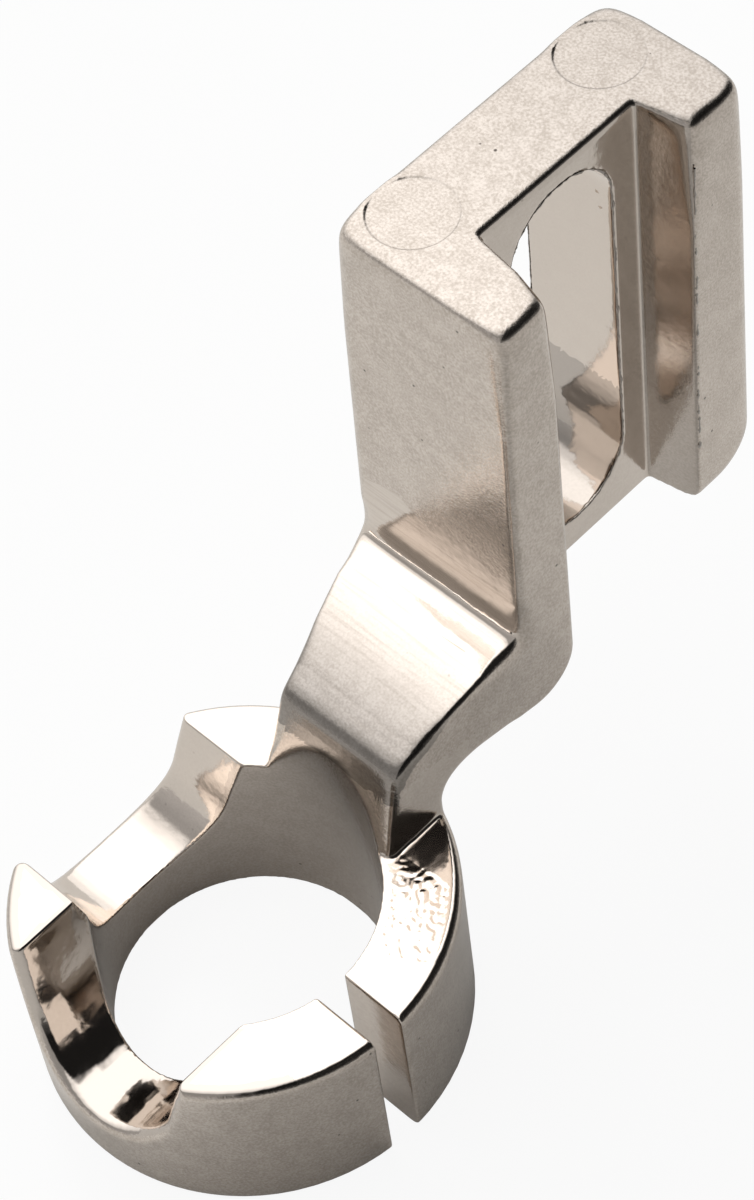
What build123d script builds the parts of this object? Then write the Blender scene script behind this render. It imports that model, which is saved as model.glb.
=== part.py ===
"""Presser foot for free-motion sewing, cast in one piece.

A ring surrounds the needle and slides on the fabric. An arm with an elbow carries the ring, and a
shank with a U-channel and a long screw slot clamps the foot to the presser bar.

Millimetres. Z is up, Y points to the back of the machine and X to the right. The origin is on the
needle axis, at the height of the ring's sole.
"""

import os
from math import cos, radians, sin, tan

from build123d import *

# Needle ring
ring_diameter = 12.7
bore_diameter = 8.3
ring_height = 6.1
ring_edge_radius = 0.3

# Two equal notches in the ring's wall, one to the left and one to the front
notch_floor_height = 2.07
notch_radius = 2.7
notch_wall_lean = 14

# Slit through the ring's right wall, where the thread is slipped in
slit_width = 0.95
slit_offset = 0.35

# Arm from the ring up to the shank
arm_rise = 4.25
arm_depth_at_shank = 4.1
arm_depth_at_ring = 3.1
arm_width_at_ring = 4.8
arm_right_taper = 0.3
arm_right_draft = 4
shelf_fall = 7.5
crease_radius = 0.35
elbow_radius = 1.34
elbow_bore_margin = 0.12
band_bore_overlap = 0.6
armpit_radius = 0.9
arm_heel_radius = 1.4

# Shank, with its widths at the top, where the casting draft makes it slimmest
shank_setback = 9.3
shank_width = 10.6
shank_height = 15.8
shank_foot_drop = 3.3
shank_left_face = 3.4
shank_draft = 1.1
shank_corner_radius = 0.5
shank_heel_radius = 1.6
web_thickness = 3.15
front_flange_thickness = 2.3
front_flange_reach = 6.0
back_flange_reach = 4.9
channel_width = 5.85
channel_flare = 9
cast_edge_radius = 0.22

# Screw slot through the web
slot_width = 3.9
slot_top_margin = 0.75
slot_bottom_margin = 1.15

# Round marks that the ejector pins leave on the top face
mark_diameter = 2.5
mark_depth = 0.06
mark_spacing = 7.1
mark_inset = 1.35

# How far a cutter reaches past what it cuts, and how deep one form sits in the next
overrun = 1.0
seat = 0.8

# Heights
shelf_top = ring_height + arm_rise
shank_foot = shelf_top - shank_foot_drop
shank_top = shank_foot + shank_height
slot_length = shank_height - slot_top_margin - slot_bottom_margin
arm_root = shelf_top - arm_depth_at_shank
arm_tip = shelf_top - arm_depth_at_ring

# Notch section: a round floor whose walls carry on straight and lean apart
notch_lean = radians(notch_wall_lean)
notch_shoulder = notch_radius * cos(notch_lean)
notch_shoulder_height = notch_floor_height + notch_radius * (1 - sin(notch_lean))
notch_mouth = notch_shoulder + (ring_height + overrun - notch_shoulder_height) * tan(notch_lean)

# Places along Y, from the needle axis to the back
ring_radius = ring_diameter / 2
bore_radius = bore_diameter / 2
elbow_front = bore_radius + elbow_bore_margin
band_foot = bore_radius - band_bore_overlap
drop_core = (bore_radius + ring_radius) / 2
armpit_end = ring_radius + armpit_radius
draft_slope = tan(radians(shank_draft))
front_top = shank_setback + (shank_top - shelf_top) * draft_slope
back_top = front_top + shank_width
back_foot = back_top + shank_height * draft_slope
shank_centre = (front_top + back_top) / 2

# Where the falling shelf over the arm turns into the elbow
shelf_lean = radians(shelf_fall)
shelf_end = elbow_front + elbow_radius * (1 - sin(shelf_lean))
shelf_end_height = shelf_top - (shank_setback - shelf_end) * tan(shelf_lean)
elbow_base = shelf_end_height - elbow_radius * cos(shelf_lean)

# Places along X, from the needle axis to the right
web_left = -shank_left_face
web_right = web_left + web_thickness
web_foot_left = web_left - (shank_top - arm_root) * draft_slope
front_flange_end = web_left + front_flange_reach
back_flange_end = web_left + back_flange_reach
arm_left = front_flange_end - arm_width_at_ring
arm_right = front_flange_end - arm_right_taper

# Channel walls, which spread towards the mouth
flare_slope = tan(radians(channel_flare))
channel_front = front_top + front_flange_thickness
channel_back = channel_front + channel_width
channel_centre = (channel_front + channel_back) / 2
channel_back_mouth = channel_back + (back_flange_end - web_right) * flare_slope

# The arm's underside, which rises in one slope from the channel to the ring
underside_slope = (arm_tip - arm_root) / (channel_front - armpit_end)
arm_heel = arm_root - (channel_centre - channel_front) * underside_slope

# Drafted outer face of the web, and the channel's front wall
web_face = Plane(origin=(web_left, 0, shank_top), z_dir=(1, 0, -draft_slope))
channel_front_wall = Plane(origin=(web_right, channel_front, 0), z_dir=(flare_slope, 1, 0))


def is_upright(edge):
    """True for an edge that runs nearly straight up, with or without draft."""
    direction = edge.tangent_at(0.5)
    return abs(direction.Z) > abs(direction.X) + abs(direction.Y)


def is_channel_lip(edge):
    """True for the crisp upright edges where the channel's core met the flange ends."""
    return is_upright(edge) and shank_setback + overrun < edge.center().Y < channel_back_mouth + overrun / 2


# Ring: a cylinder with two notches and the thread slit
with BuildPart() as ring:
    with BuildSketch(Plane.XY):
        Circle(ring_radius)
    extrude(amount=ring_height)
    for notch_side in (Plane.left, Plane.front):
        with BuildSketch(notch_side):
            with BuildLine():
                Polyline(
                    (-notch_shoulder, notch_shoulder_height),
                    (-notch_mouth, ring_height + overrun),
                    (notch_mouth, ring_height + overrun),
                    (notch_shoulder, notch_shoulder_height),
                )
                ThreePointArc(
                    (-notch_shoulder, notch_shoulder_height),
                    (0, notch_floor_height),
                    (notch_shoulder, notch_shoulder_height),
                )
            make_face()
        extrude(amount=ring_radius + overrun, mode=Mode.SUBTRACT)
    outer_wall = ring.faces().filter_by(GeomType.CYLINDER).sort_by(SortBy.AREA)[-1]
    fillet(outer_wall.edges(), ring_edge_radius)
    with BuildSketch(Plane.XY):
        with Locations((0, -slit_offset)):
            Rectangle(ring_radius + overrun, slit_width, align=(Align.MIN, Align.CENTER))
    extrude(amount=ring_height, mode=Mode.SUBTRACT)

# Drop: the part of the arm that stands on the ring. Its back is the ring's own outer wall, which
# flares into the arm's underside, and its front is a band that leans over the bore.
with BuildPart() as drop:
    with BuildSketch(Plane.XZ):
        with BuildLine():
            Polyline(
                (ring_radius, arm_tip - armpit_radius),
                (ring_radius, ring_height - seat),
                (0, ring_height - seat),
                (0, elbow_base),
                (armpit_end, elbow_base),
                (armpit_end, arm_tip),
            )
            RadiusArc((armpit_end, arm_tip), (ring_radius, arm_tip - armpit_radius), -armpit_radius)
        make_face()
    revolve(axis=Axis.Z)
    with BuildSketch(Plane.YZ.offset(arm_left)):
        with BuildLine():
            Polyline(
                (band_foot, ring_height - seat),
                (band_foot, ring_height),
                (elbow_front, elbow_base),
                (armpit_end, elbow_base),
                (armpit_end, ring_height - seat),
                close=True,
            )
        make_face()
    extrude(amount=arm_width_at_ring, mode=Mode.INTERSECT)

# Front: the front flange and the arm, one side outline pushed across from the web's outer face
with BuildPart() as front:
    with BuildSketch(Plane.YZ.offset(web_foot_left)):
        with BuildLine():
            Polyline(
                (elbow_front, shelf_top),
                (shank_setback, shelf_top),
                (front_top, shank_top),
                (channel_centre, shank_top),
                (channel_centre, arm_heel),
                (armpit_end, arm_tip),
                (drop_core, arm_tip),
                (elbow_front, elbow_base),
                close=True,
            )
        make_face()
    extrude(amount=front_flange_end - web_foot_left)
    split(bisect_by=channel_front_wall, keep=Keep.BOTTOM)
    flange_wall = front.faces().sort_by(Axis.Y)[-1]
    fillet(flange_wall.edges().sort_by(Axis.Z)[0], arm_heel_radius)

with BuildPart() as foot:
    # Web and back flange, with the rounded lower heel
    with BuildSketch(Plane.YZ.offset(web_foot_left)) as rear:
        with BuildLine():
            Polyline(
                (channel_front - seat, shank_foot),
                (channel_front - seat, shank_top),
                (back_top, shank_top),
                (back_foot, shank_foot),
                close=True,
            )
        make_face()
        fillet(rear.vertices().sort_by(Axis.X)[-1], shank_heel_radius)
    extrude(amount=back_flange_end - web_foot_left)

    # Channel for the presser bar, open to the right and at both ends
    with BuildSketch(Plane.XY.offset(shank_foot)):
        with BuildLine():
            Polyline(
                (web_right, channel_front - seat),
                (back_flange_end, channel_front - seat),
                (back_flange_end, channel_back_mouth),
                (web_right, channel_back),
                close=True,
            )
        make_face()
    extrude(amount=shank_height, mode=Mode.SUBTRACT)
    add(front.part)
    split(bisect_by=web_face, keep=Keep.TOP)

    # Rounded outer corners: two beside the web and one on the end of the back flange
    web_corners = foot.edges().filter_by(is_upright).filter_by(lambda edge: edge.center().X < web_left)
    fillet(web_corners.sort_by(Axis.Y)[-1:] + web_corners.sort_by(Axis.Z)[-1:], shank_corner_radius)
    back_end = foot.faces().filter_by(Axis.X).sort_by(Axis.Y)[-1]
    fillet(back_end.edges().sort_by(Axis.Y)[-2:], shank_corner_radius)

    # The shelf over the arm falls to the front and rolls over into the elbow
    with BuildSketch(Plane.YZ.offset(web_foot_left)):
        with BuildLine():
            Polyline(
                (shelf_end, shelf_end_height),
                (shank_setback, shelf_top),
                (elbow_front - overrun, shelf_top),
                (elbow_front - overrun, elbow_base),
                (elbow_front, elbow_base),
            )
            RadiusArc((elbow_front, elbow_base), (shelf_end, shelf_end_height), elbow_radius)
        make_face()
    extrude(amount=front_flange_end - web_foot_left, mode=Mode.SUBTRACT)

    # The arm's left side tapers from the shank's width to the width of the drop
    with BuildSketch(Plane.XY):
        with BuildLine():
            Polyline(
                (web_foot_left, shank_setback + shank_corner_radius),
                (arm_left, elbow_front + elbow_radius / 2),
                (arm_left, 0),
                (web_foot_left - overrun, 0),
                (web_foot_left - overrun, shank_setback + shank_corner_radius),
                close=True,
            )
        make_face()
    extrude(amount=shelf_top, mode=Mode.SUBTRACT)
    add(drop.part)

    # Screw slot through the web
    with BuildSketch(Plane.YZ.offset(web_foot_left)):
        with Locations((channel_centre, shank_top - slot_top_margin - slot_length / 2)):
            SlotOverall(slot_length, slot_width, rotation=90)
    extrude(amount=web_right - web_foot_left, mode=Mode.SUBTRACT)

    # Cast edges round the top and round the ends of both flanges
    ends = foot.faces().filter_by(Axis.X).filter_by(lambda face: face.center().X > web_right + overrun)
    top = foot.faces().sort_by(Axis.Z)[-1]
    cast_edges = ends.edges() + top.edges()
    fillet(cast_edges.filter_by(lambda edge: not is_channel_lip(edge)), cast_edge_radius)

    # The arm's right side tapers too, and leans outwards down to the ring
    with BuildSketch(Plane.XY.offset(shelf_top)):
        with BuildLine():
            Polyline(
                (front_flange_end, shank_setback),
                (arm_right, elbow_front),
                (arm_right, 0),
                (front_flange_end + overrun, 0),
                (front_flange_end + overrun, shank_setback),
                close=True,
            )
        make_face()
    extrude(amount=ring_height - shelf_top, taper=arm_right_draft, mode=Mode.SUBTRACT)

    # Cast fillet in the crease between the shelf and the front flange
    crease_middle = ((arm_left + arm_right) / 2, shank_setback, shelf_top)
    crease = foot.edges().filter_by(Axis.X).sort_by_distance(crease_middle)[0]
    fillet(crease, crease_radius)

    # Ejector marks
    with BuildSketch(Plane.XY.offset(shank_top)):
        with Locations((web_left + mark_inset, shank_centre)):
            with GridLocations(0, mark_spacing, 1, 2):
                Circle(mark_diameter / 2)
    extrude(amount=-mark_depth, mode=Mode.SUBTRACT)

    # The ring, and the bore that also trims the band to an arch
    add(ring.part)
    with BuildSketch(Plane.XY):
        Circle(bore_radius)
    extrude(amount=shelf_top, mode=Mode.SUBTRACT)

foot.part.label = "presser_foot"
os.makedirs("parts", exist_ok=True)
export_step(foot.part, "parts/presser_foot.step")
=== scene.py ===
# %% [markdown]
# # A cast presser foot in bright nickel
#
# The object is one small zinc casting: a notched ring that rides on the fabric, an arm with an elbow,
# and a shank with a channel and a screw slot. It was cast in a steel die, tumbled and nickel plated.
# So there is one piece of metal to show, and the lesson is about its skin: soft edges, a slightly
# wavy plated surface, a hair of flash where the die closed, and light that makes nickel look like
# nickel. The frame gives the bare solid, with X to the right, Y to the back and Z up.

from math import cos, pi, radians, sin, tan

import bmesh
import bpy
import numpy as np
from mathutils import Matrix, Vector, noise
from mathutils.bvhtree import BVHTree


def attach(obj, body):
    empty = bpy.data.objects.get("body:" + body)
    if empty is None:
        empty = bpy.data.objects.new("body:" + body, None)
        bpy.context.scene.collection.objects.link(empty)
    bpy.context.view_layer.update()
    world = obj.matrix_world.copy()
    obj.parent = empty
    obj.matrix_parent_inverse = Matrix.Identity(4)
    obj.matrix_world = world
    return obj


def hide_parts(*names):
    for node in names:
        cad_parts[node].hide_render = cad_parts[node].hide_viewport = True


MM = 0.001

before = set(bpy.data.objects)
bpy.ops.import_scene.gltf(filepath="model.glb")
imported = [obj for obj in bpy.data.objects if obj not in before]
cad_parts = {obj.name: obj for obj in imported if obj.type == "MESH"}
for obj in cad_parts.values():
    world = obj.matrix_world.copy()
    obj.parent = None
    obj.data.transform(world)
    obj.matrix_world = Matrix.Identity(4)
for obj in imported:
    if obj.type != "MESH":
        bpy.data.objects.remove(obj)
scene = bpy.context.scene
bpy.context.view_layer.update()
cad_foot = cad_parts["presser_foot"]

# %% [markdown]
# ## Camera
#
# The camera looks down on the foot from the front right, turned a little about its own axis. The
# angles and the distance are the ones that bring the solid's edges onto the edges in the picture. A
# Track To constraint could aim it, but has no such turn, so the camera's three axes are worked out
# from the angles.

# %% Camera
CAMERA_AZIMUTH = radians(50.373)
CAMERA_ELEVATION = radians(54.017)
CAMERA_ROLL = radians(-8.247)
CAMERA_EYE = Vector((42.891, -28.896, 89.573)) * MM
SENSOR_HEIGHT = 24.0
LENS = 70.9

camera_back = Vector((
    sin(CAMERA_AZIMUTH) * cos(CAMERA_ELEVATION),
    -cos(CAMERA_AZIMUTH) * cos(CAMERA_ELEVATION),
    sin(CAMERA_ELEVATION),
))
level_right = Vector((cos(CAMERA_AZIMUTH), sin(CAMERA_AZIMUTH), 0))
level_up = camera_back.cross(level_right)
camera_right = level_right * cos(CAMERA_ROLL) + level_up * sin(CAMERA_ROLL)
camera_up = camera_back.cross(camera_right)

camera_data = bpy.data.cameras.new("camera")
camera_data.sensor_fit = "VERTICAL"
camera_data.sensor_height = SENSOR_HEIGHT
camera_data.lens = LENS
camera_data.clip_start = MM
camera = bpy.data.objects.new("camera", camera_data)
axes = Matrix((camera_right, camera_up, camera_back)).transposed()
camera.matrix_world = Matrix.Translation(CAMERA_EYE) @ axes.to_4x4()
scene.collection.objects.link(camera)
scene.camera = camera
print("camera", round((CAMERA_EYE / MM).length, 1), "mm from the foot of the needle axis")

# %% [markdown]
# ## The casting
#
# The solid has exact planes and knife edges, and a real casting has neither. A Bevel modifier could
# round the edges, but it wants clean edges all round, and a CAD mesh is thin triangles. So a voxel
# remesh turns the solid into one even skin, which can then be moved point by point.

# %% Casting skin
MERGE_DISTANCE = 0.0005 * MM
VOXEL = 0.05 * MM


def merged_copy(source, name):
    """A copy of a CAD node with its loose triangles joined at their corners."""
    mesh = bpy.data.meshes.new(name)
    shell = bmesh.new()
    shell.from_mesh(source.data)
    bmesh.ops.remove_doubles(shell, verts=shell.verts, dist=MERGE_DISTANCE)
    shell.to_mesh(mesh)
    shell.free()
    copy = bpy.data.objects.new(name, mesh)
    scene.collection.objects.link(copy)
    return copy


def apply_modifiers(piece):
    """Turns the piece's modifiers into plain mesh."""
    bpy.context.view_layer.update()
    evaluated = piece.evaluated_get(bpy.context.evaluated_depsgraph_get())
    mesh = bpy.data.meshes.new_from_object(evaluated)
    piece.modifiers.clear()
    piece.data = mesh


foot = merged_copy(cad_foot, "foot_casting")
remesh = foot.modifiers.new("even skin", "REMESH")
remesh.mode = "VOXEL"
remesh.voxel_size = VOXEL
remesh.use_smooth_shade = True
apply_modifiers(foot)
print("casting skin:", len(foot.data.vertices), "points,", len(foot.data.polygons), "faces")

# %% [markdown]
# ## Soft edges
#
# Tumbling rounds the outer corners more than the sheltered ones. All edges get a few rounds of
# smoothing, which also take out the voxels' own steps. The rim of the shank's top, which hits the
# tumbling stones first, gets many more, and its corners get the most. The arm, the elbow and the
# crease between shelf and shank, which the metal fills in a wide hollow, have rounds of their own.
#
# A Smooth modifier works on a vertex group, so each place is a group. Its weight rises over a ramp,
# because a hard limit would leave a step. The two flat rounds that the ejector pins left on the top
# are spared, or they would melt away, and so is the part of the rim that the channel shelters.

# %% Marks, corners and shelter on the top
# Places on the top, in millimetres as all places in this cell and the next.
MARK_PLACES = ((-2.05, 11.29), (-2.05, 18.39))
TOP_CORNERS = ((2.6, 9.35), (2.6, 11.35), (1.5, 18.1), (1.5, 20.4), (-3.4, 9.35), (-3.4, 20.4))
CHANNEL_MIDDLE_Y = 14.7
FLANGE_ENDS_X = (2.6, 1.5)
# Ramps of a weight: where it is 0, and where it is 1.
MARK_RIM = (1.32, 1.55)
CORNER_REACH = (1.5, 0.2)
SHELTER_FROM_END = (0.5, 1.2)
SHELTER_LEFT_X = (-2.2, -1.4)
SHELTER_FRONT_Y = (10.2, 10.8)
SHELTER_BACK_Y = (19.3, 18.7)


def rows_of(items, what):
    """What a mesh's points or faces hold under that name, as rows of three numbers."""
    rows = np.empty(len(items) * 3, np.float32)
    items.foreach_get(what, rows)
    return rows.reshape(-1, 3)


def ramp(value, start, end):
    """A smooth change from 0 to 1 as the value goes from start to end, upwards or downwards."""
    share = np.clip((value - start) / (end - start), 0, 1)
    return share * share * (3 - 2 * share)


x, y, z = rows_of(foot.data.vertices, "co").T / MM
off_marks = np.ones(len(x))
for mark_x, mark_y in MARK_PLACES:
    off_marks *= ramp(np.hypot(x - mark_x, y - mark_y), *MARK_RIM)
corner_distances = [np.hypot(x - corner_x, y - corner_y) for corner_x, corner_y in TOP_CORNERS]
near_corner = ramp(np.min(corner_distances, axis=0), *CORNER_REACH)
flange_end = np.where(y < CHANNEL_MIDDLE_Y, *FLANGE_ENDS_X)
from_end = ramp(x, flange_end - SHELTER_FROM_END[0], flange_end - SHELTER_FROM_END[1])
sheltered = ramp(x, *SHELTER_LEFT_X) * from_end * ramp(y, *SHELTER_FRONT_Y) * ramp(y, *SHELTER_BACK_Y)
print("points over or under the ejector marks:", int((off_marks < 1).sum()))

# %% Soft edges
MARK_FLOOR_Z = (22.4, 22.6)
MARK_SPARED = 0.7
RIM_Z = (21.5, 22.2)
SHELTER_SPARED = 0.9
CORNER_Z = (18.5, 22.5)
ARM_Z, ARM_Y = (6.3, 7.3), (9.1, 8.6)
ELBOW_Z, ELBOW_Y = (6.5, 9.2), (6.6, 5.6)
CREASE_FRONT_Y, CREASE_BACK_Y = (7.8, 8.6), (10.0, 9.5)
CREASE_LOW_Z, CREASE_HIGH_Z = (9.2, 9.9), (11.9, 11.2)
ROUNDS = {"all_edges": 14, "top_rim": 90, "top_corners": 320, "arm": 110, "elbow": 150, "crease": 260}
WEIGHT_LEVELS = 12
SMOOTH_FACTOR = 0.5

over_crease = ramp(y, *CREASE_FRONT_Y) * ramp(y, *CREASE_BACK_Y)
weights = {
    "all_edges": 1 - MARK_SPARED * (1 - off_marks) * ramp(z, *MARK_FLOOR_Z),
    "top_rim": off_marks * ramp(z, *RIM_Z) * (1 - SHELTER_SPARED * sheltered),
    "top_corners": off_marks * ramp(z, *CORNER_Z) * near_corner,
    "arm": ramp(z, *ARM_Z) * ramp(y, *ARM_Y),
    "elbow": ramp(z, *ELBOW_Z) * ramp(y, *ELBOW_Y),
    "crease": over_crease * ramp(z, *CREASE_LOW_Z) * ramp(z, *CREASE_HIGH_Z),
}
for name, weight in weights.items():
    group = foot.vertex_groups.new(name=name)
    levels = np.rint(weight * WEIGHT_LEVELS)
    for level in range(1, WEIGHT_LEVELS + 1):
        group.add(np.flatnonzero(levels == level).tolist(), level / WEIGHT_LEVELS, "REPLACE")
    smooth = foot.modifiers.new(name, "SMOOTH")
    smooth.factor = SMOOTH_FACTOR
    smooth.iterations = ROUNDS[name]
    smooth.vertex_group = name
    print("softened", name, int((levels > 0).sum()), "points")
apply_modifiers(foot)

# %% [markdown]
# ## Crowned shelf
#
# The shelf over the arm looks flat, but its reflection fades from white at the crease to grey at the
# elbow. A flat mirror can't do that, so the polished shelf is a little crowned. A Lattice could bend
# it, but a rule is easier to set: the slope starts with a small tilt and grows along the arm by a
# fixed angle for each millimetre, and the height follows from the slope.

# %% Crowned shelf
CROWN_RATE = radians(3.1) / MM
CROWN_TILT = radians(2.5)
CROWN_START_Y = 8.4 * MM
CREASE_Y = 8.95 * MM
SHELF_FRONT_Y = 5.3 * MM
DROP_FRONT_Y = 4.0 * MM
ELBOW_BASE_Z = 8.4 * MM
SHELF_Z = 9.7 * MM


def between(value, low, high):
    """True where the value lies between the two limits."""
    return (value > low) & (value < high)


places = rows_of(foot.data.vertices, "co")
x, y, z = places.T
over_arm = between(y, DROP_FRONT_Y, CREASE_Y) & (z > ELBOW_BASE_Z)
along = np.clip(CROWN_START_Y - y, 0, CROWN_START_Y - SHELF_FRONT_Y)
fall = CROWN_RATE * along**2 / 2 + CROWN_TILT * along
share_of_fall = np.clip((z - ELBOW_BASE_Z) / (SHELF_Z - ELBOW_BASE_Z), 0, 1)
places[over_arm, 2] -= (fall * share_of_fall)[over_arm]
foot.data.vertices.foreach_set("co", places.ravel())
foot.data.update()
print("the crown lowers the elbow by", round(float(fall.max()) / MM, 3), "mm")

# %% [markdown]
# ## Wavy notches
#
# The two notches and the screw slot were dressed by hand, so their walls wander by up to a hundredth
# of a millimetre. That is too little to see in the outline, and enough to tear the reflections into
# ragged bands. A bump in the material could fake it, but real points keep the waves in the exported
# mesh. So the skin is pressed in along its normals by a noise, only where a wall was dressed.

# %% Wavy notches
NOTCH_WAVE = 0.010 * MM
NOTCH_WAVELENGTH = 0.75 * MM
SLOT_WAVE = 0.006 * MM
SLOT_WAVELENGTH = 0.9 * MM
RIPPLE_SHARE = 0.4
RIPPLE_FINER = 3.7
RING_TOP = 6.1 * MM
RING_RIM = 0.1 * MM
OUTSIDE_RING = 6.5 * MM
UNDER_NOTCHES = 1.9 * MM
NOTCH_INNER = 3.0 * MM
NOTCH_REACH = 3.4 * MM
RADIAL_WALL = 0.8
WEB_RIGHT = -0.25 * MM
SLOT_CENTRE_Y = 14.765 * MM
SLOT_HALF_WIDTH = 1.95 * MM
SLOT_SKIN = 0.03 * MM
HALF_TURNED = 0.5

places = rows_of(foot.data.vertices, "co")
normals = rows_of(foot.data.vertices, "normal")
x, y, z = places.T
across = np.hypot(x, y)
radial = np.abs(x * normals[:, 0] + y * normals[:, 1]) / across
dressed = between(z, UNDER_NOTCHES, RING_TOP - RING_RIM)
dressed &= (radial < RADIAL_WALL) & (across < OUTSIDE_RING)
left_notch = dressed & (x < -NOTCH_INNER) & (np.abs(y) < NOTCH_REACH)
front_notch = dressed & (y < -NOTCH_INNER) & (np.abs(x) < NOTCH_REACH)
slot_reach = np.abs(y - SLOT_CENTRE_Y) < SLOT_HALF_WIDTH + SLOT_SKIN
slot_wall = (x < WEB_RIGHT) & slot_reach & (np.abs(normals[:, 0]) < HALF_TURNED)


def press_in(chosen, depth, wavelength):
    """Presses the chosen points in along their normals by a noise of that depth and wavelength."""
    for index in np.flatnonzero(chosen):
        place = Vector(places[index].tolist()) / wavelength
        wave = noise.noise(place) + RIPPLE_SHARE * noise.noise(place * RIPPLE_FINER)
        places[index] += normals[index] * depth * (wave - 1) / 2


notches = left_notch | front_notch
press_in(notches, NOTCH_WAVE, NOTCH_WAVELENGTH)
press_in(slot_wall, SLOT_WAVE, SLOT_WAVELENGTH)
print("wavy points:", int(notches.sum()), "in the notches and", int(slot_wall.sum()), "in the slot")

# %% [markdown]
# ## Ridge and wrinkles
#
# Two marks are coarser. A low ridge runs through the front notch halfway between its rims, where the
# tool came in from both sides, and it splits the reflection in two. On the ring's top the polish ends
# in wrinkles towards the arm. Grooves along the lines where a noise is zero wander as wrinkles do, so
# they are made that way, deeper towards the arm.

# %% Ridge and wrinkles
RIDGE_RADIUS = 5.25 * MM
RIDGE_REACH = 0.95 * MM
RIDGE_SLOPE = 0.045
RIDGE_FADE = (0.1 * MM, 0.6 * MM)
WRINKLE_DEPTH = 0.009 * MM
WRINKLE_LENGTH = 0.28 * MM
WRINKLE_WIDTH = 0.3
WRINKLED_X = 2.6 * MM
WRINKLED_Y = (-1.2 * MM, 4.0 * MM)
WRINKLED_ACROSS = (4.45 * MM, 5.95 * MM)
FULLY_WRINKLED_Y = 2.0 * MM
TOP_SKIN = 0.05 * MM
LEVEL = 0.95

ridge = RIDGE_SLOPE * np.clip(RIDGE_REACH - np.abs(across - RIDGE_RADIUS), 0, None)
ridge = ridge * ramp(RING_TOP - z, *RIDGE_FADE)
places[front_notch] += normals[front_notch] * ridge[front_notch, None]
wrinkled = (z > RING_TOP - TOP_SKIN) & (normals[:, 2] > LEVEL) & (x > WRINKLED_X)
wrinkled &= between(y, *WRINKLED_Y) & between(across, *WRINKLED_ACROSS)
strength = ramp(y, WRINKLED_Y[0], FULLY_WRINKLED_Y)
for index in np.flatnonzero(wrinkled):
    place = Vector(places[index].tolist()) / WRINKLE_LENGTH
    groove = max(0.0, 1 - abs(noise.noise(place)) / WRINKLE_WIDTH)
    places[index] -= normals[index] * WRINKLE_DEPTH * groove * strength[index]
foot.data.vertices.foreach_set("co", places.ravel())
foot.data.update()
print("wrinkled points on the ring's top:", int(wrinkled.sum()))

# %% [markdown]
# ## Fewer triangles
#
# Flat faces don't need a point every twentieth of a millimetre. Decimate takes points out where they
# matter least, which a coarser remesh couldn't do without losing the edges. Weighted normals then keep
# the flat faces looking flat beside their round edges.

# %% Fewer triangles
MOST_TRIANGLES = 198000
NORMAL_WEIGHT = 60

decimate = foot.modifiers.new("fewer triangles", "DECIMATE")
decimate.ratio = MOST_TRIANGLES / (2 * len(foot.data.polygons))
weighted = foot.modifiers.new("flat faces stay flat", "WEIGHTED_NORMAL")
weighted.mode = "FACE_AREA_WITH_ANGLE"
weighted.weight = NORMAL_WEIGHT
apply_modifiers(foot)
print("casting:", sum(len(face.vertices) - 2 for face in foot.data.polygons), "triangles")

# %% [markdown]
# ## Where the metal is satin and where it is polished
#
# The plate copies what is under it. The die leaves a satin grain on the shank, the arm's sides and the
# ring's outer wall. The shelf, the ring's top and the notches were polished, and the channel and the
# slot are smooth from their cores. Several materials could show this, but their borders would be hard.
#
# So there is one material, and each face gets three numbers for it to read: satin, from 0 for polished
# to 1, painted shade, a darker grey plate painted where shade falls and where the light fades, and
# drawn, for the shelf, which has lines from polishing.
# The regions come first, then a table of amounts for each number, where a later region covers an
# earlier one.

# %% Regions of the casting
SHANK_FRONT = 9.3 * MM
SHANK_TOP = 22.85 * MM
TOP_BAND = 0.2 * MM
CHANNEL_FRONT = 11.3 * MM
CHANNEL_BACK = 18.1 * MM
DROP_TOP = 8.3 * MM
DROP_BACK = 7.0 * MM
SHELF_LOW = 7.9 * MM
SHELF_RIGHT = 2.45 * MM
SLOT_TOP = 22.3 * MM
SLOT_LOW_END = 12.0 * MM
BORE_REACH = 4.35 * MM
SLIT_LEFT = 4.0 * MM
SLIT_REACH = 1.0 * MM
FACE_SKIN = 0.05 * MM
# How much of a face's normal points one way, from a slight tilt to nearly square.
TILTED, HALF, LEANING, MOSTLY, SQUARE, NEARLY_LEVEL = 0.15, 0.5, 0.6, 0.7, 0.8, 0.85

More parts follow.
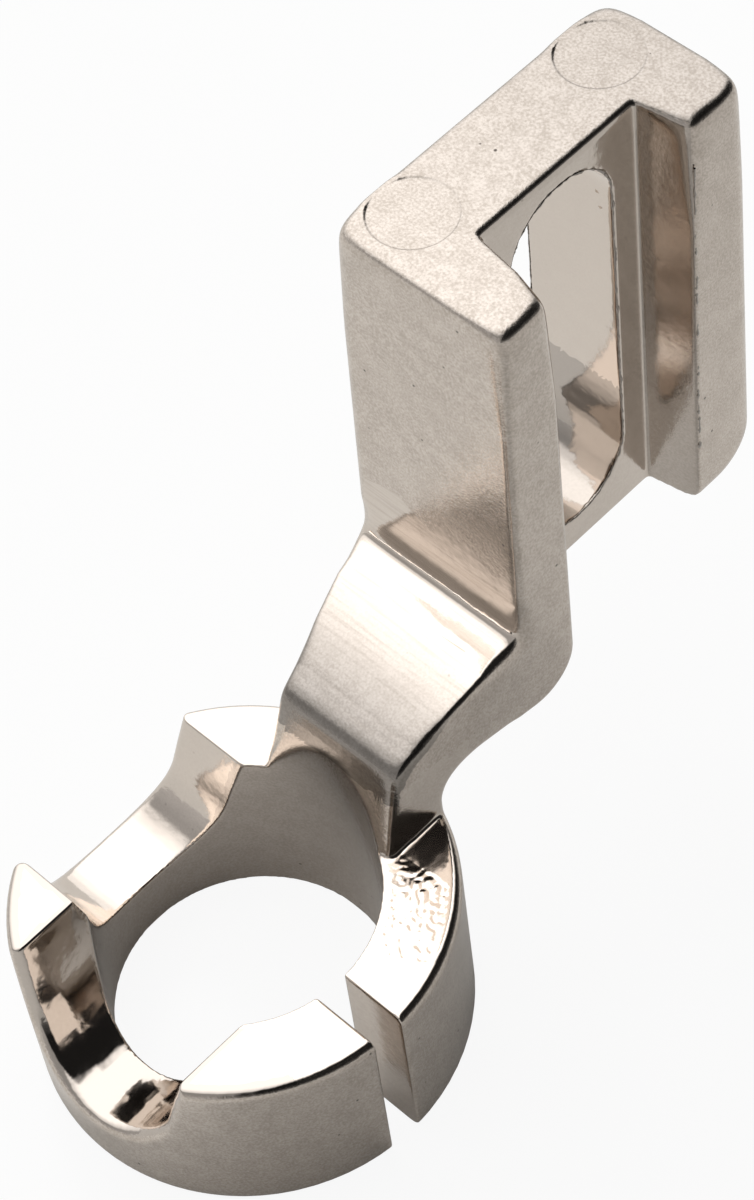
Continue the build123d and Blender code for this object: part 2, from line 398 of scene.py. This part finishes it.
mesh = foot.data
x, y, z = rows_of(mesh.polygons, "center").T
facing_x, facing_y, facing_z = rows_of(mesh.polygons, "normal").T
across = np.hypot(x, y)
radial = (x * facing_x + y * facing_y) / across
in_channel = between(y, CHANNEL_FRONT, CHANNEL_BACK)
in_slot = (x < WEB_RIGHT) & (np.abs(y - SLOT_CENTRE_Y) < SLOT_HALF_WIDTH + FACE_SKIN)
in_slot &= (z < SLOT_TOP) & (np.abs(facing_x) < HALF)
on_shelf = (y < SHANK_FRONT + FACE_SKIN) & (z > SHELF_LOW) & (x < SHELF_RIGHT)
on_shelf &= (facing_z > TILTED) | (facing_y < -LEANING)
notch_wall = (np.abs(radial) < MOSTLY) & between(z, UNDER_NOTCHES, RING_TOP)
regions = {
    "casting": np.full(len(x), True),
    "shank_top": (z > SHANK_TOP - TOP_BAND) & (facing_z > MOSTLY),
    "drop_side": between(z, RING_TOP, DROP_TOP) & (facing_x > LEANING) & (y < DROP_BACK),
    "channel_floor": (facing_x > MOSTLY) & (x < 0) & in_channel,
    "channel_sides": (np.abs(facing_y) > MOSTLY) & (x > WEB_RIGHT) & in_channel,
    "slot": in_slot,
    "slot_low_end": in_slot & (z < SLOT_LOW_END),
    "shelf": on_shelf,
    "bore": (radial < -HALF) & (across < BORE_REACH),
    "slit": (x > SLIT_LEFT) & (np.abs(facing_y) > SQUARE) & (np.abs(y) < SLIT_REACH) & (z < RING_TOP),
    "left_notch": notch_wall & (x < -NOTCH_INNER),
    "front_notch": notch_wall & (y < -NOTCH_INNER),
    "ring_top": between(z, UNDER_NOTCHES, RING_TOP + RING_RIM) & (facing_z > NEARLY_LEVEL),
}
print("faces in each region:", {name: int(chosen.sum()) for name, chosen in regions.items()})

# %% Satin, painted shade and drawn faces
# An amount is one number, or a row of places along Y with the number at each.
SATIN = {
    "casting": 0.8,
    "shank_top": 0.9,
    "drop_side": 0.4,
    "channel_floor": 0.25,
    "channel_sides": 0.45,
    "slot": 0.12,
    "shelf": ((5.6 * MM, 8.0 * MM), (0.6, 0.1)),
    "bore": 0.55,
    "slit": 0.4,
    "left_notch": 0.15,
    "front_notch": 0.15,
    "ring_top": 0.0,
}
# Painted shade: darker plate in the channel's sides, the bore, the front notch and the slot's low end, where
# shade falls, darker towards the back on the shank's top, and towards the elbow on the shelf, where it
# stands in for the shelf's fading reflection.
PAINTED_SHADE = {
    "shank_top": ((10.0 * MM, 19.5 * MM), (0.46, 0.80)),
    "channel_sides": 0.4,
    "bore": 0.35,
    "front_notch": 0.4,
    "slot_low_end": 0.6,
    "shelf": ((5.1 * MM, 6.2 * MM, 7.1 * MM, 8.2 * MM), (1.0, 0.72, 0.33, 0.0)),
}
DRAWN = {"shelf": 1.0}


def painted(amounts):
    """A number for each face: the amount of the last region in the table that holds it, or else 0."""
    numbers = np.zeros(len(x))
    for region, amount in amounts.items():
        if isinstance(amount, tuple):
            amount = np.interp(y, *amount)
        numbers = np.where(regions[region], amount, numbers)
    return numbers.astype(np.float32)


for name, amounts in (("satin", SATIN), ("painted_shade", PAINTED_SHADE), ("drawn", DRAWN)):
    numbers = painted(amounts)
    mesh.attributes.new(name, "FLOAT", "FACE").data.foreach_set("value", numbers)
    print(name, "is", round(float(numbers.mean()), 3), "on average")

# %% [markdown]
# ## Nickel plate
#
# Nickel is a metal with a warm grey reflection, so Base Color is that reflection and Metallic is 1. A
# picture of metal could be wrapped round the foot, but it would need seams. Noises that fill space
# have none. There are four: a fine grain that belongs to the satin faces, a slow mottle in the colour
# and the gloss, a swell that bends the reflections on all faces, and lines across the shelf from
# polishing. Small dark pores on the satin faces come from a cell pattern.

# %% Nickel patterns
GRAIN_SIZE, GRAIN_DETAIL = 0.075 * MM, 3
MOTTLE_SIZE, MOTTLE_DETAIL = 0.6 * MM, 4
SWELL_SIZE, SWELL_DETAIL = 0.33 * MM, 1
LINE_SIZE, LINE_DETAIL = 0.12 * MM, 2
LINE_STRETCH = 0.04
PORE_SPACING = 1.1 * MM


def add_node(tree, kind, inputs, **settings):
    """Adds a node, gives it its settings, and fills its inputs with values or other nodes' outputs."""
    node = tree.nodes.new(kind)
    for name, value in settings.items():
        setattr(node, name, value)
    for socket, value in inputs.items():
        if isinstance(value, bpy.types.NodeSocket):
            tree.links.new(value, node.inputs[socket])
        else:
            node.inputs[socket].default_value = value
    return node


def noise_of(tree, where, size, detail):
    """A noise with spots of that size and that many finer layers."""
    inputs = {"Vector": where, "Scale": 1 / size, "Detail": detail}
    return add_node(tree, "ShaderNodeTexNoise", inputs).outputs[0]


nickel = bpy.data.materials.new("nickel")
nickel.use_nodes = True
tree = nickel.node_tree
shader = tree.nodes["Principled BSDF"]
shader.inputs["Metallic"].default_value = 1.0
place = add_node(tree, "ShaderNodeTexCoord", {}).outputs["Object"]
# The faces' satin, painted shade and drawn numbers.
satin_face, painted_shade_face, drawn_face = (
    add_node(tree, "ShaderNodeAttribute", {}, attribute_name=name).outputs["Fac"]
    for name in ("satin", "painted_shade", "drawn")
)
stretched = add_node(tree, "ShaderNodeMapping", {"Vector": place, "Scale": (LINE_STRETCH, 1, 1)}).outputs[0]
grain = noise_of(tree, place, GRAIN_SIZE, GRAIN_DETAIL)
mottle = noise_of(tree, place, MOTTLE_SIZE, MOTTLE_DETAIL)
swell = noise_of(tree, place, SWELL_SIZE, SWELL_DETAIL)
lines = noise_of(tree, stretched, LINE_SIZE, LINE_DETAIL)
pores = add_node(tree, "ShaderNodeTexVoronoi", {
    "Vector": place, "Scale": 1 / PORE_SPACING,
}).outputs["Distance"]
print("nickel reads", len(tree.nodes) - 2, "patterns and coordinates")

# %% [markdown]
# ### Colour
#
# On satin faces the grain and the mottle together choose a tone between dull and bright nickel. On
# polished faces the tone is bright, apart from the lines on the shelf. The painted shade multiplies
# that tone by a cool grey, a darker plate that stands in for shade, and the pores go on top.

# %% Nickel colour
NICKEL_BRIGHT = (0.74, 0.66, 0.59, 1.0)
NICKEL_DULL = (0.50, 0.435, 0.375, 1.0)
NICKEL_PAINTED_SHADE = (0.48, 0.49, 0.50, 1.0)
PORE_COLOUR = (0.05, 0.04, 0.035, 1.0)
MOTTLE_IN_SPOTS = 0.45
SPOT_RANGE = (0.55, 0.9)
LINE_RANGE, LINE_TONES = (0.28, 0.5), (0.45, 1.0)
PORE_RIM = (0.03, 0.05)
FALLING = (1.0, 0.0)


def worked_out(tree, operation, *values):
    """The result of an operation on numbers."""
    return add_node(tree, "ShaderNodeMath", dict(enumerate(values)), operation=operation).outputs[0]


def mapped(tree, value, start_end, low_high=(0.0, 1.0), change="LINEAR"):
    """A change from the low to the high number as the value goes from start to end."""
    inputs = {"Value": value, "From Min": start_end[0], "From Max": start_end[1]}
    inputs |= {"To Min": low_high[0], "To Max": low_high[1]}
    return add_node(tree, "ShaderNodeMapRange", inputs, interpolation_type=change).outputs[0]


def mixed(tree, share, first, second):
    """A number between two numbers, by a share of the second."""
    return add_node(tree, "ShaderNodeMix", {0: share, 2: first, 3: second}).outputs[0]


def mixed_colour(tree, share, first, second, blend="MIX"):
    """A colour between two colours, or one blended over the other, by a share of the second."""
    inputs = {0: share, 6: first, 7: second}
    return add_node(tree, "ShaderNodeMix", inputs, data_type="RGBA", blend_type=blend).outputs[2]


spots = worked_out(tree, "MULTIPLY_ADD", mottle, MOTTLE_IN_SPOTS, grain)
satin_tone = mapped(tree, spots, SPOT_RANGE)
line_tone = mapped(tree, lines, LINE_RANGE, LINE_TONES)
polished_tone = mixed(tree, drawn_face, 1.0, line_tone)
tone = mixed(tree, satin_face, polished_tone, satin_tone)
clean = mixed_colour(tree, tone, NICKEL_DULL, NICKEL_BRIGHT)
# Painted shade: where the faces hold it, the tone is multiplied by a cool grey.
metal = mixed_colour(tree, painted_shade_face, clean, NICKEL_PAINTED_SHADE, "MULTIPLY")
pore = mapped(tree, pores, PORE_RIM, FALLING)
pore_on_satin = worked_out(tree, "MULTIPLY", pore, satin_face)
colour = mixed_colour(tree, pore_on_satin, metal, PORE_COLOUR)
tree.links.new(colour, shader.inputs["Base Color"])
print("nickel colour from", NICKEL_DULL[:3], "to", NICKEL_BRIGHT[:3])

# %% [markdown]
# ### Gloss and relief
#
# Satin faces are rougher, and the mottle makes the gloss a little uneven everywhere. The swell and the
# grain are only some thousandths of a millimetre high, too fine for the mesh, so they are bump: first
# the swell on all faces, then the grain on the satin ones.

# %% Nickel gloss and relief
WHOLE_RANGE = (0.0, 1.0)
ROUGHNESS_RANGE = (0.05, 0.2)
MOTTLE_IN_ROUGHNESS = 0.06
SWELL_HEIGHT = 0.0050 * MM
GRAIN_HEIGHT = 0.0055 * MM

even_roughness = mapped(tree, satin_face, WHOLE_RANGE, ROUGHNESS_RANGE)
roughness = worked_out(tree, "MULTIPLY_ADD", mottle, MOTTLE_IN_ROUGHNESS, even_roughness)
tree.links.new(roughness, shader.inputs["Roughness"])
swelling = add_node(tree, "ShaderNodeBump", {
    "Height": swell, "Distance": SWELL_HEIGHT, "Strength": 1.0,
}).outputs[0]
grain_on_satin = worked_out(tree, "MULTIPLY", grain, satin_face)
relief = add_node(tree, "ShaderNodeBump", {
    "Height": grain_on_satin, "Distance": GRAIN_HEIGHT, "Strength": 1.0, "Normal": swelling,
}).outputs[0]
tree.links.new(relief, shader.inputs["Normal"])
foot.data.materials.clear()
foot.data.materials.append(nickel)
print("nickel has", len(tree.nodes), "nodes")

# %% [markdown]
# ## Casting flash
#
# Where two parts of the die met, a hair of zinc squeezed out and was never quite trimmed: along both
# rims of the screw slot, along one lip of the channel and along the crease between shelf and shank. It
# could be modelled by hand, but Geometry Nodes suit a ragged edge that follows a path. The path is cut
# into short steps, each step is shaken by a noise, and a thin round section is swept along it, thicker
# and thinner by the same noise. The crease has moved with the skin, so rays find where it is now.

# %% Paths of the flash
SLOT_CENTRE_Z = 15.15 * MM
SLOT_HALF_LENGTH = 6.95 * MM
ARC_STEPS = 24
FLASH_SEAT = 0.03 * MM
WEB_LEFT = -3.4 * MM
WEB_DRAFT = tan(radians(1.1))
LIP_X, LIP_Y = 1.46 * MM, 18.03 * MM
LIP_ENDS_Z = (7.6 * MM, 21.2 * MM)
CREASE_ENDS_X = (-3.1 * MM, 2.3 * MM)
CREASE_STEPS = 40
ABOVE_CREASE = (8.4 * MM, 11.4 * MM)
INTO_CREASE = Vector((0, 1, -1))
FULL_SIZE, CREASE_SIZE = 1.0, 0.9


def slot_rim(wall):
    """The slot's outline, a little inside the metal, at the x that wall gives for a height."""
    straight = SLOT_HALF_LENGTH - SLOT_HALF_WIDTH
    reach = SLOT_HALF_WIDTH + FLASH_SEAT
    rim_points = []
    for end in (1, -1):
        for step in range(ARC_STEPS + 1):
            turn = pi * step / ARC_STEPS
            up = SLOT_CENTRE_Z + end * (straight + reach * sin(turn))
            rim_points.append((wall(up), SLOT_CENTRE_Y + end * reach * cos(turn), up))
    return rim_points


near_rim = slot_rim(lambda up: WEB_RIGHT - FLASH_SEAT)
far_rim = slot_rim(lambda up: WEB_LEFT - (SHANK_TOP - up) * WEB_DRAFT + FLASH_SEAT)
lip = [(LIP_X, LIP_Y, end_z) for end_z in LIP_ENDS_Z]
casting = BVHTree.FromObject(foot, bpy.context.evaluated_depsgraph_get())
crease = [
    casting.ray_cast(Vector((step_x, *ABOVE_CREASE)), INTO_CREASE)[0]
    for step_x in np.linspace(*CREASE_ENDS_X, CREASE_STEPS)
]
flash_paths = (
    (near_rim, True, FULL_SIZE),
    (far_rim, True, FULL_SIZE),
    (lip, False, FULL_SIZE),
    (crease, False, CREASE_SIZE),
)
flash_curve = bpy.data.curves.new("flash_paths", "CURVE")
flash_curve.dimensions = "3D"
for path_points, closed, relative_size in flash_paths:
    spline = flash_curve.splines.new("POLY")
    spline.points.add(len(path_points) - 1)
    spline.use_cyclic_u = closed
    for point, path_point in zip(spline.points, path_points):
        point.co = (*path_point, 1)
        point.radius = relative_size
flash = bpy.data.objects.new("casting_flash", flash_curve)
scene.collection.objects.link(flash)
print("flash follows", len(flash_curve.splines), "paths")

# %% Ragged edge tree
FLASH_SIZES = {
    "step": 0.07 * MM,
    "thickness": 0.07 * MM,
    "shake": 0.13 * MM,
    "tear length": 0.45 * MM,
    "seed": 3.0,
}
TEAR_DETAIL, TEAR_ROUGHNESS = 3.0, 0.7
TEAR_RANGE, THIN_TO_FULL = (0.48, 0.72), (0.3, 1.0)
NOISE_MIDDLE = (0.5, 0.5, 0.5)
SECTION_SIDES = 6

ragged = bpy.data.node_groups.new("ragged_edge", "GeometryNodeTree")
ragged.interface.new_socket("Geometry", in_out="INPUT", socket_type="NodeSocketGeometry")
ragged.interface.new_socket("Geometry", in_out="OUTPUT", socket_type="NodeSocketGeometry")
for name in FLASH_SIZES:
    ragged.interface.new_socket(name, in_out="INPUT", socket_type="NodeSocketFloat")
ragged.interface.new_socket("finish", in_out="INPUT", socket_type="NodeSocketMaterial")

given = add_node(ragged, "NodeGroupInput", {}).outputs
steps = add_node(ragged, "GeometryNodeResampleCurve", {
    "Curve": given["Geometry"], "Length": given["step"],
}, mode="LENGTH").outputs[0]
where = add_node(ragged, "GeometryNodeInputPosition", {}).outputs[0]
tears = worked_out(ragged, "DIVIDE", 1.0, given["tear length"])
torn = add_node(ragged, "ShaderNodeTexNoise", {
    "Vector": where, "W": given["seed"], "Scale": tears, "Detail": TEAR_DETAIL, "Roughness": TEAR_ROUGHNESS,
}, noise_dimensions="4D").outputs
centred = add_node(ragged, "ShaderNodeVectorMath", {
    0: torn["Color"], 1: NOISE_MIDDLE,
}, operation="SUBTRACT").outputs[0]
path_size = add_node(ragged, "GeometryNodeInputRadius", {}).outputs[0]
path_shake = worked_out(ragged, "MULTIPLY", path_size, given["shake"])
shaken = add_node(ragged, "ShaderNodeVectorMath", {
    0: centred, "Scale": path_shake,
}, operation="SCALE").outputs[0]
path = add_node(ragged, "GeometryNodeSetPosition", {"Geometry": steps, "Offset": shaken}).outputs[0]
torn_size = worked_out(ragged, "MULTIPLY", mapped(ragged, torn["Fac"], TEAR_RANGE, THIN_TO_FULL), path_size)
thickness = worked_out(ragged, "MULTIPLY", torn_size, given["thickness"])
section = add_node(ragged, "GeometryNodeCurvePrimitiveCircle", {
    "Resolution": SECTION_SIDES, "Radius": 1.0,
}).outputs["Curve"]
swept = add_node(ragged, "GeometryNodeCurveToMesh", {
    "Curve": path, "Profile Curve": section, "Scale": thickness, "Fill Caps": True,
}).outputs[0]
rounded = add_node(ragged, "GeometryNodeSetShadeSmooth", {"Geometry": swept}).outputs[0]
plated = add_node(ragged, "GeometryNodeSetMaterial", {
    "Geometry": rounded, "Material": given["finish"],
}).outputs[0]
real = add_node(ragged, "GeometryNodeRealizeInstances", {"Geometry": plated}).outputs[0]
add_node(ragged, "NodeGroupOutput", {"Geometry": real})
print("ragged edge tree has", len(ragged.nodes), "nodes")

# %% [markdown]
# ### Flash made a plain mesh
#
# The tree's inputs are set by their identifiers, and the result becomes a plain mesh, so that the
# export needs no tree. The flash in the channel and on the slot gets a painted shade, a darker plate
# like its surroundings, and the line in the crease stays bright.

# %% Flash made a plain mesh
ragged_edge = flash.modifiers.new("ragged edge", "NODES")
ragged_edge.node_group = ragged
identifiers = {item.name: item.identifier for item in ragged.interface.items_tree if item.in_out == "INPUT"}
for name, value in FLASH_SIZES.items():
    ragged_edge[identifiers[name]] = value
ragged_edge[identifiers["finish"]] = nickel
bpy.context.view_layer.update()
flash_mesh = bpy.data.meshes.new_from_object(flash.evaluated_get(bpy.context.evaluated_depsgraph_get()))
bpy.data.objects.remove(flash)
# Painted shade on the flash in the channel and on the slot.
flash_painted_shade = [float(face.center.y > CHANNEL_FRONT) for face in flash_mesh.polygons]
flash_mesh.attributes.new("painted_shade", "FLOAT", "FACE").data.foreach_set("value", flash_painted_shade)
flash = bpy.data.objects.new("casting_flash", flash_mesh)
scene.collection.objects.link(flash)
print("flash:", len(flash_mesh.polygons), "faces")

# %% [markdown]
# ## Floor
#
# The foot lies on white paper. A white floor under enough light to look white would flood the metal
# with light. So the paper is grey, and Light Path lifts it almost to white where the camera sees it,
# and only a little where the metal mirrors it. It keeps the foot's shadow. To the right it is a little
# darker, a painted shade that stands in for dimmer, shadowed paper there, which keeps the ring's right
# wall from washing out.

# %% Floor
FLOOR_REACH = 1.0
FLOOR_GAP = 0.01 * MM
FLOOR_CORNERS = ((-1, -1), (1, -1), (1, 1), (-1, 1))
PAPER_LEFT = (0.55, 0.55, 0.54, 1)
# Painted shade: the paper fades darker to the right, where the metal mirrors it.
PAPER_PAINTED_SHADE_RIGHT = (0.43, 0.43, 0.42, 1)
PAINTED_SHADE_FADE_X = (6 * MM, 18 * MM)
PAPER_ROUGHNESS = 0.9
WHITE_TO_CAMERA = 0.92
WHITE_TO_METAL = 0.02

floor_mesh = bpy.data.meshes.new("floor")
floor_points = [(side_x * FLOOR_REACH, side_y * FLOOR_REACH, -FLOOR_GAP) for side_x, side_y in FLOOR_CORNERS]
floor_mesh.from_pydata(floor_points, [], [(0, 1, 2, 3)])
floor = bpy.data.objects.new("floor", floor_mesh)
scene.collection.objects.link(floor)
paper = bpy.data.materials.new("white_paper")
paper.use_nodes = True
tree = paper.node_tree
matte = tree.nodes["Principled BSDF"]
matte.inputs["Roughness"].default_value = PAPER_ROUGHNESS
paper_place = add_node(tree, "ShaderNodeTexCoord", {}).outputs["Object"]
paper_x = add_node(tree, "ShaderNodeSeparateXYZ", {0: paper_place}).outputs["X"]
# The paper's colour, with the painted shade to the right.
shade = mixed_colour(tree, mapped(tree, paper_x, PAINTED_SHADE_FADE_X), PAPER_LEFT, PAPER_PAINTED_SHADE_RIGHT)
tree.links.new(shade, matte.inputs["Base Color"])
rays = add_node(tree, "ShaderNodeLightPath", {}).outputs
to_metal = worked_out(tree, "MAXIMUM", rays["Is Glossy Ray"], rays["Is Transmission Ray"])
metal_share = worked_out(tree, "MULTIPLY", to_metal, WHITE_TO_METAL)
white_share = worked_out(tree, "MULTIPLY_ADD", rays["Is Camera Ray"], WHITE_TO_CAMERA, metal_share)
white = add_node(tree, "ShaderNodeEmission", {}).outputs[0]
lift = add_node(tree, "ShaderNodeMixShader", {0: white_share, 1: matte.outputs[0], 2: white}).outputs[0]
tree.links.new(lift, tree.nodes["Material Output"].inputs["Surface"])
floor_mesh.materials.append(paper)
print("floor", 2 * FLOOR_REACH, "m wide")

# %% [markdown]
# ## Light and surroundings
#
# Bright metal shows its surroundings, so the surroundings are the light. A ring of lamps would show as
# hard shapes in the metal, and a world made of soft steps doesn't. A broad glow stands high at the back
# left, the left side is half bright, and the right side is dark, with a paler band along the horizon.
# The dark side draws the thin dark lines along the edges and the dark corner where the arm stands on
# the ring, and its border leans back, so that the corner's patch ends where it should.

# %% Surroundings
GLOW_DIRECTION = Vector((-0.45, 0.3, 0.84)).normalized()
GLOW_CORE, GLOW_CORE_EDGE = 0.75, (0.52, 0.87)
GLOW_HALO, GLOW_HALO_EDGE = 0.8, (0.33, 0.54)
LEFT_LIGHT = 0.40
RIGHT_LIGHT = 0.015
RIGHT_LEAN = 0.4
RIGHT_EDGE = (0.15, 0.36)
HORIZON_LIGHT, HORIZON_EDGE = 0.12, (0.0, 0.4)

world = bpy.data.worlds.new("surroundings")
scene.world = world
world.use_nodes = True
tree = world.node_tree
background = tree.nodes["Background"]
direction = add_node(tree, "ShaderNodeTexCoord", {}).outputs["Generated"]
parts = add_node(tree, "ShaderNodeSeparateXYZ", {0: direction}).outputs
nearness = add_node(tree, "ShaderNodeVectorMath", {
    0: direction, 1: GLOW_DIRECTION,
}, operation="DOT_PRODUCT").outputs["Value"]
core = mapped(tree, nearness, GLOW_CORE_EDGE, (0.0, GLOW_CORE), "SMOOTHSTEP")
halo = mapped(tree, nearness, GLOW_HALO_EDGE, (LEFT_LIGHT, LEFT_LIGHT + GLOW_HALO), "SMOOTHSTEP")
left = worked_out(tree, "ADD", core, halo)
rightness = worked_out(tree, "MULTIPLY_ADD", parts["Y"], RIGHT_LEAN, parts["X"])
lit = worked_out(tree, "MULTIPLY", left, mapped(tree, rightness, RIGHT_EDGE, FALLING, "SMOOTHSTEP"))
horizon_to_right = (RIGHT_LIGHT + HORIZON_LIGHT, RIGHT_LIGHT)
horizon = mapped(tree, parts["Z"], HORIZON_EDGE, horizon_to_right, "SMOOTHSTEP")
surroundings = worked_out(tree, "ADD", lit, horizon)
rays = add_node(tree, "ShaderNodeLightPath", {}).outputs
backdrop = mixed(tree, rays["Is Camera Ray"], surroundings, 1.0)
tree.links.new(backdrop, background.inputs["Color"])
print("glow from", [round(c, 2) for c in GLOW_DIRECTION])

# %% [markdown]
# ## Shadow
#
# The surroundings alone give a shadow too soft to see. One lamp from the side of the glow draws it on
# the paper. The metal doesn't mirror the lamp, so its square never shows. The view transform is
# Standard, which shows a colour as it is written.

# %% Shadow lamp
LAMP_DIRECTION = Vector((-0.7, 0.45, 0.62)).normalized()
LAMP_DISTANCE = 0.6
LAMP_WIDTH = 0.15
LAMP_RADIANCE = 26

lamp_data = bpy.data.lights.new("lamp_back_left", "AREA")
lamp_data.shape = "SQUARE"
lamp_data.size = LAMP_WIDTH
lamp_data.energy = pi * LAMP_RADIANCE * LAMP_WIDTH**2
lamp = bpy.data.objects.new("lamp_back_left", lamp_data)
lamp.location = LAMP_DIRECTION * LAMP_DISTANCE
lamp.rotation_euler = LAMP_DIRECTION.to_track_quat("Z", "Y").to_euler()
lamp.visible_glossy = False
scene.collection.objects.link(lamp)
scene.view_settings.view_transform = "Standard"
print("lamp of", round(lamp_data.energy, 2), "W at", LAMP_DISTANCE, "m")

# %% [markdown]
# ## Hand over
#
# Both meshes move with the one body of the part. The casting stands for the CAD solid, and the flash
# sits on it. The CAD solid itself is hidden.

# %% Hand over
for piece in (foot, flash):
    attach(piece, "root")
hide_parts("presser_foot")
